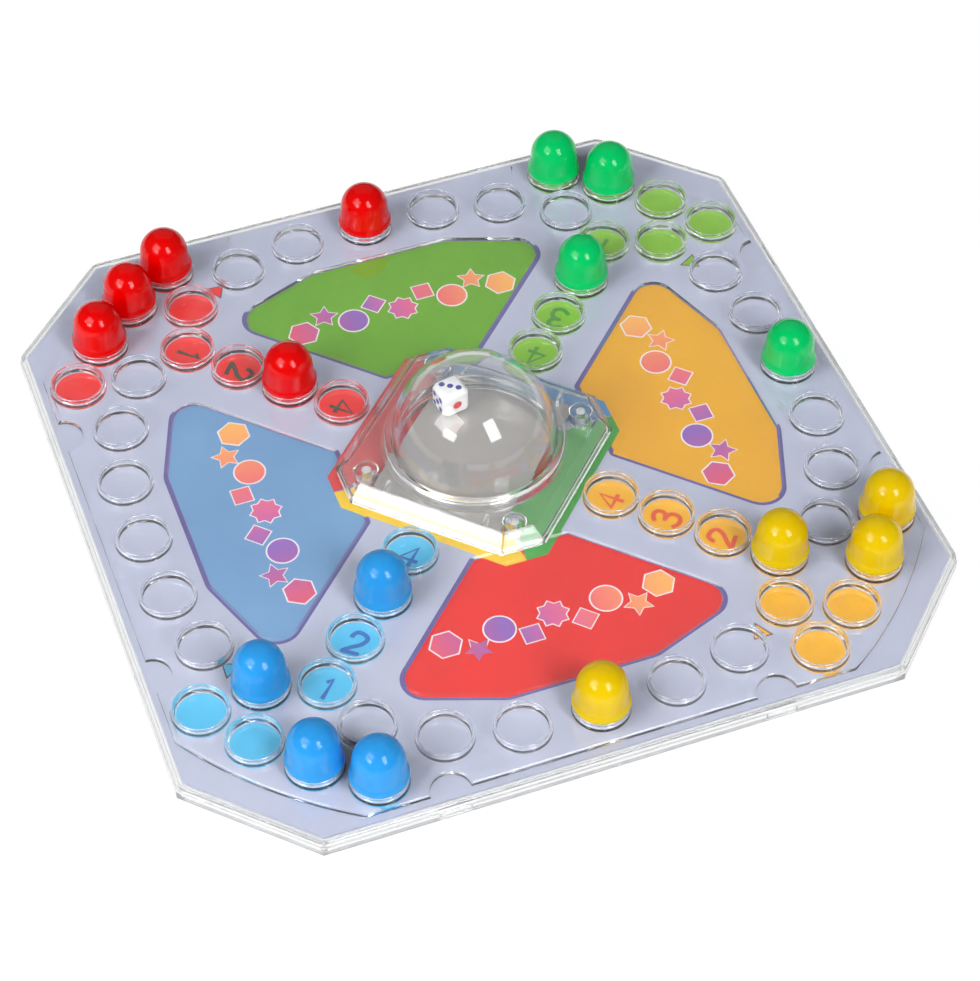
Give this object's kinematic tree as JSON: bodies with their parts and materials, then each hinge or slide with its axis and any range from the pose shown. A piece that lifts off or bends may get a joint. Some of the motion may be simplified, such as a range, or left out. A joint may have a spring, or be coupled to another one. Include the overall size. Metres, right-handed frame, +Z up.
{
  "type": "pop up dice board game",
  "caption": "Clear game case with ring wells for coloured pegs, a printed card under its cover and a press dome in the middle that makes a die jump.",
  "frame": {"origin": "middle of the underside, on the table", "axes": "+Z up, X and Y along the long sides of the eight sided case, the blue home corner at -X -Y and the red one at -X +Y"},
  "size_m": [0.264, 0.264, 0.0475],
  "materials": {
    "clear_plastic": "clear, glossy",
    "printed_card": "printed, satin",
    "spring_steel": "bright",
    "red_sheet": "satin",
    "white_plastic": "glossy",
    "red_plastic": "glossy",
    "green_plastic": "glossy",
    "yellow_plastic": "glossy",
    "blue_plastic": "glossy"
  },
  "bodies": {
    "case": {"bottom_tray": "clear_plastic", "top_cover": "clear_plastic", "game_card": "printed_card", "popper_housing": "clear_plastic", "red_disc": "red_sheet", "leaf_spring": "spring_steel"},
    "dome": {"popper_dome": "clear_plastic"},
    "die": {"die": "white_plastic"},
    "red_peg_1": {"red_peg_1": "red_plastic"},
    "red_peg_2": {"red_peg_2": "red_plastic"},
    "red_peg_3": {"red_peg_3": "red_plastic"},
    "red_peg_4": {"red_peg_4": "red_plastic"},
    "red_peg_5": {"red_peg_5": "red_plastic"},
    "green_peg_1": {"green_peg_1": "green_plastic"},
    "green_peg_2": {"green_peg_2": "green_plastic"},
    "green_peg_3": {"green_peg_3": "green_plastic"},
    "green_peg_4": {"green_peg_4": "green_plastic"},
    "yellow_peg_1": {"yellow_peg_1": "yellow_plastic"},
    "yellow_peg_2": {"yellow_peg_2": "yellow_plastic"},
    "yellow_peg_3": {"yellow_peg_3": "yellow_plastic"},
    "yellow_peg_4": {"yellow_peg_4": "yellow_plastic"},
    "blue_peg_1": {"blue_peg_1": "blue_plastic"},
    "blue_peg_2": {"blue_peg_2": "blue_plastic"},
    "blue_peg_3": {"blue_peg_3": "blue_plastic"},
    "blue_peg_4": {"blue_peg_4": "blue_plastic"}
  },
  "joints": [
    {"name": "dome_press", "type": "slide", "parent": "case", "child": "dome", "axis": [0, 0, -1], "range_m": [0, 0.002], "stiffness_N_per_m": 3000, "springref_m": -0.001, "deforming": ["leaf_spring"]},
    {"name": "die_hop", "type": "slide", "parent": "dome", "child": "die", "axis": [0.0599, -0.6594, 0.7494], "range_m": [0, 0.01]},
    {"name": "lift_red_peg_1", "type": "slide", "parent": "case", "child": "red_peg_1", "axis": [0, 0, 1], "range_m": [0, 0.04]},
    {"name": "lift_red_peg_2", "type": "slide", "parent": "case", "child": "red_peg_2", "axis": [0, 0, 1], "range_m": [0, 0.04]},
    {"name": "lift_red_peg_3", "type": "slide", "parent": "case", "child": "red_peg_3", "axis": [0, 0, 1], "range_m": [0, 0.04]},
    {"name": "lift_red_peg_4", "type": "slide", "parent": "case", "child": "red_peg_4", "axis": [0, 0, 1], "range_m": [0, 0.04]},
    {"name": "lift_red_peg_5", "type": "slide", "parent": "case", "child": "red_peg_5", "axis": [0, 0, 1], "range_m": [0, 0.04]},
    {"name": "lift_green_peg_1", "type": "slide", "parent": "case", "child": "green_peg_1", "axis": [0, 0, 1], "range_m": [0, 0.04]},
    {"name": "lift_green_peg_2", "type": "slide", "parent": "case", "child": "green_peg_2", "axis": [0, 0, 1], "range_m": [0, 0.04]},
    {"name": "lift_green_peg_3", "type": "slide", "parent": "case", "child": "green_peg_3", "axis": [0, 0, 1], "range_m": [0, 0.04]},
    {"name": "lift_green_peg_4", "type": "slide", "parent": "case", "child": "green_peg_4", "axis": [0, 0, 1], "range_m": [0, 0.04]},
    {"name": "lift_yellow_peg_1", "type": "slide", "parent": "case", "child": "yellow_peg_1", "axis": [0, 0, 1], "range_m": [0, 0.04]},
    {"name": "lift_yellow_peg_2", "type": "slide", "parent": "case", "child": "yellow_peg_2", "axis": [0, 0, 1], "range_m": [0, 0.04]},
    {"name": "lift_yellow_peg_3", "type": "slide", "parent": "case", "child": "yellow_peg_3", "axis": [0, 0, 1], "range_m": [0, 0.04]},
    {"name": "lift_yellow_peg_4", "type": "slide", "parent": "case", "child": "yellow_peg_4", "axis": [0, 0, 1], "range_m": [0, 0.04]},
    {"name": "lift_blue_peg_1", "type": "slide", "parent": "case", "child": "blue_peg_1", "axis": [0, 0, 1], "range_m": [0, 0.04]},
    {"name": "lift_blue_peg_2", "type": "slide", "parent": "case", "child": "blue_peg_2", "axis": [0, 0, 1], "range_m": [0, 0.04]},
    {"name": "lift_blue_peg_3", "type": "slide", "parent": "case", "child": "blue_peg_3", "axis": [0, 0, 1], "range_m": [0, 0.04]},
    {"name": "lift_blue_peg_4", "type": "slide", "parent": "case", "child": "blue_peg_4", "axis": [0, 0, 1], "range_m": [0, 0.04]}
  ]
}
